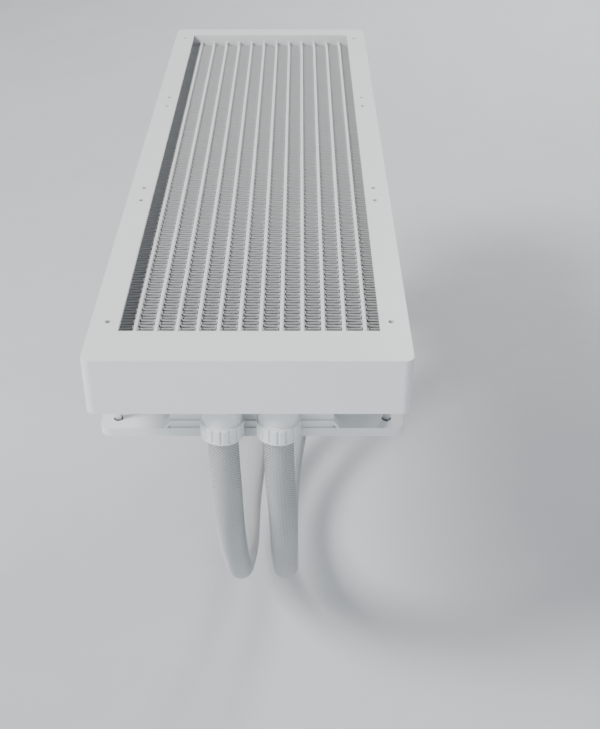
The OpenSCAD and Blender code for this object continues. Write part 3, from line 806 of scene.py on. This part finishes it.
def finish_fans():
    plastic = paint("fan_plastic", (0.85, 0.87, 0.88), 0.44, grain=2400, depth=0.00005)
    blades = milky_plastic()
    steel = brushed("shaft_steel", (0.70, 0.70, 0.71), 0.2)
    magnet = paint("magnet", (0.09, 0.09, 0.10), 0.6, grain=1800)
    bronze = paint("bronze", (0.60, 0.42, 0.20), 0.4, grain=3000, metallic=1.0)
    copper = winding()
    board = circuit_board()
    for fan in FANS:
        for part, material in (("frame", plastic), ("shaft", steel), ("magnet", magnet),
                               ("bearing", bronze), ("stator", copper), ("board", board)):
            finish_with(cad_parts[f"{fan}_fan_{part}"], material)
        soften_edges(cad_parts[f"{fan}_fan_frame"], 0.0005, 2)
        add_rotor(fan, blades)


def threaded_shank(name, profile, length, pitch, depth):
    """Plain shank from a profile of (radius, height), then a thread up to a chamfered tip."""
    radius, plain = profile[-1]
    rings = list(profile)
    for i in range(1, int((length - plain) / pitch)):
        crest = plain + i * pitch
        rings += [(radius, crest), (radius - depth, crest + pitch * 0.45)]
    rings.append((radius - depth, length))
    segments = 20
    shank = add_mesh(name, lathe_points(rings, segments), capped_tube(len(rings), segments), smooth=True)
    fix_normals(shank)
    return shank


def screw(name, shank, length, head, head_height, socket_radius):
    """Pan head with a hexagon socket, plain shank, and a thread on the last third."""
    plain = [(shank - 0.0003, 0), (shank, 0.0004), (shank, length * 0.62)]
    body = threaded_shank(name, plain, length, pitch=0.0008, depth=0.0003)
    cap = [(socket_radius, 0), (head, 0), (head, -head_height * 0.45), (head * 0.82, -head_height),
           (socket_radius, -head_height)]
    crown = lathe(name + "_head", cap, segments=36, corner=0.0004)
    floor_thickness = 0.0004
    socket = [(0, 0), (socket_radius, 0), (socket_radius, -floor_thickness), (0, -floor_thickness)]
    socket_floor = turned(name + "_socket", socket, segments=6)
    return join(name, [body, crown, socket_floor])


def add_fan_screws():
    low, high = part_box("fan_screws")
    fan_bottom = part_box("front_fan_frame")[0][2]
    head = 0.0033
    head_height = fan_bottom - low[2]
    socket = 0.0013
    parts = []
    for fan in FANS:
        centre = middle(f"{fan}_fan_frame")
        for sx in (-1, 1):
            for sy in (-1, 1):
                part = screw("screw", FAN_SCREW_RADIUS, high[2] - fan_bottom, head, head_height, socket)
                x = centre[0] + sx * FAN_HOLE_PITCH / 2
                y = centre[1] + sy * FAN_HOLE_PITCH / 2
                place(part, upright_at((x, y, fan_bottom)))
                parts.append(part)
    zinc = brushed("screw_zinc", (0.80, 0.81, 0.82), 0.3)
    stand_for(join("fan_screws_detail", parts), zinc, ROOT, "fan_screws")


# ---------- pump head ----------

def add_pump_cap():
    """Shell with a rounded shoulder, a shadow groove near the joint and a raised lip round its disc."""
    low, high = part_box("pump_cap")
    centre = middle("pump_cap")
    face_low, face_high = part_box("cap_face")
    radius = (high[1] - low[1]) / 2
    face = (face_high[1] - face_low[1]) / 2
    length = high[0] - low[0]
    wall = 0.002
    profile = [
        (face + 0.0001, 0), (radius - 0.0018, 0), (radius, 0.0022), (radius, length - 0.003),
        (radius - 0.0005, length - 0.0026), (radius - 0.0005, length - 0.0018), (radius, length - 0.0014),
        (radius, length), (radius - wall, length), (radius - wall, wall), (face + 0.0001, wall),
    ]
    cap = lathe("pump_cap_shell", profile, segments=128, corner=0.0008)
    place(cap, along_x_at((low[0], centre[1], centre[2])))
    plastic = paint("pump_plastic", (0.85, 0.87, 0.88), 0.36, grain=2600, depth=0.00004)
    stand_for(cap, plastic, ROOT, "pump_cap")

    disc = turned("cap_disc", [(0, 0.0003), (face - 0.003, 0.0003), (face - 0.0026, 0), (face, 0),
                               (face, 0.002), (0, 0.002)], segments=128, corner=0.0002)
    place(disc, along_x_at((face_low[0], centre[1], centre[2])))
    stand_for(disc, smoked_cap(), ROOT, "cap_face")
    finish_with(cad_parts["pump_housing"], plastic)
    soften_edges(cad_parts["pump_housing"], 0.0006, 3)


def coil_spring(name, radius, wire, length, turns):
    """Round-wire compression spring with closed ends."""
    steps = turns * 28
    sides = 10
    points = []
    for i in range(steps + 1):
        share = i / steps
        angle = 2 * math.pi * turns * share
        height = wire + (length - 2 * wire) * (share - 0.08 * math.sin(2 * math.pi * share))
        outward = Vector((math.cos(angle), math.sin(angle), 0))
        centre = outward * radius + Vector((0, 0, height))
        for k in range(sides):
            a = 2 * math.pi * k / sides
            points.append(centre + outward * wire * math.cos(a) + Vector((0, 0, wire * math.sin(a))))
    spring = add_mesh(name, points, capped_tube(steps + 1, sides), smooth=True)
    fix_normals(spring)
    return spring


def thumb_screw(name, knob, knob_length, neck, neck_length, shank, length):
    """Knurled knob with a stepped face, a plain neck and a threaded tip."""
    knurls = 24

    def knurl(angle, r, height):
        if r < knob * 0.9:
            return 0
        return 0.00035 * (0.5 + 0.5 * math.cos(angle * knurls))

    profile = [(0.0008, -knob_length), (knob * 0.8, -knob_length), (knob, -knob_length + 0.0009),
               (knob, -0.0006), (knob * 0.92, 0), (0.0008, 0)]
    head = lathe(name, profile, segments=knurls * 6, rib=knurl, corner=0.0002)
    plain = [(neck, 0), (neck, neck_length), (shank, neck_length), (shank, neck_length + 0.001)]
    body = threaded_shank(name + "_shank", plain, length, pitch=0.0005, depth=0.0002)
    return join(name, [head, body])


def add_mounting_hardware():
    """Four sprung thumb screws at the bracket's corners."""
    low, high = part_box("cpu_screws")
    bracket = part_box("cpu_bracket")
    centre = middle("cold_plate")
    knob = 0.0045
    knob_length = 0.006
    neck = 0.0019
    thread = 0.0015
    wire = 0.0005
    spread = (high[1] - low[1]) / 2 - knob
    knob_end = low[0] + knob_length
    neck_length = bracket[1][0] + 0.001 - knob_end
    spring_room = bracket[0][0] - knob_end
    screws = []
    springs = []
    for sy in (-1, 1):
        for sz in (-1, 1):
            at = (knob_end, centre[1] + sy * spread, centre[2] + sz * spread)
            one = thumb_screw("thumb", knob, knob_length, neck, neck_length, thread, high[0] - knob_end)
            place(one, along_x_at(at))
            screws.append(one)
            coil = coil_spring("coil", 0.003, wire, spring_room, turns=5)
            place(coil, along_x_at(at))
            springs.append(coil)
    thumb_steel = brushed("thumb_steel", (0.74, 0.74, 0.75), 0.27)
    spring_steel = brushed("spring_steel", (0.62, 0.62, 0.64), 0.22)
    stand_for(join("cpu_screws_detail", screws), thumb_steel, ROOT, "cpu_screws")
    stand_for(join("cpu_springs_detail", springs), spring_steel, ROOT, "cpu_springs")


def finish_pump():
    add_pump_cap()
    add_mounting_hardware()
    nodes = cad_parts
    finish_with(nodes["cold_plate"], copper_plate())
    soften_edges(nodes["cold_plate"], 0.0004)
    finish_with(nodes["plate_gasket"], paint("gasket", (0.03, 0.03, 0.03), 0.7))
    finish_with(nodes["plate_screws"], brushed("small_screws", (0.70, 0.70, 0.71), 0.28))
    coat = paint("bracket_coat", (0.78, 0.79, 0.80), 0.4, grain=1500)
    finish_with(nodes["cpu_bracket"], coat)
    soften_edges(nodes["cpu_bracket"], 0.0003)
    finish_with(nodes["impeller"], paint("impeller_plastic", (0.11, 0.11, 0.12), 0.5))
    finish_with(nodes["impeller_pin"], brushed("pin_steel", (0.74, 0.74, 0.75), 0.2))
    finish_with(nodes["pump_stator"], winding())
    finish_with(nodes["pump_board"], circuit_board())


add_camera()
add_hoses()
add_studio()
add_collars()
add_fins()
finish_radiator()
finish_fans()
add_fan_screws()
finish_pump()
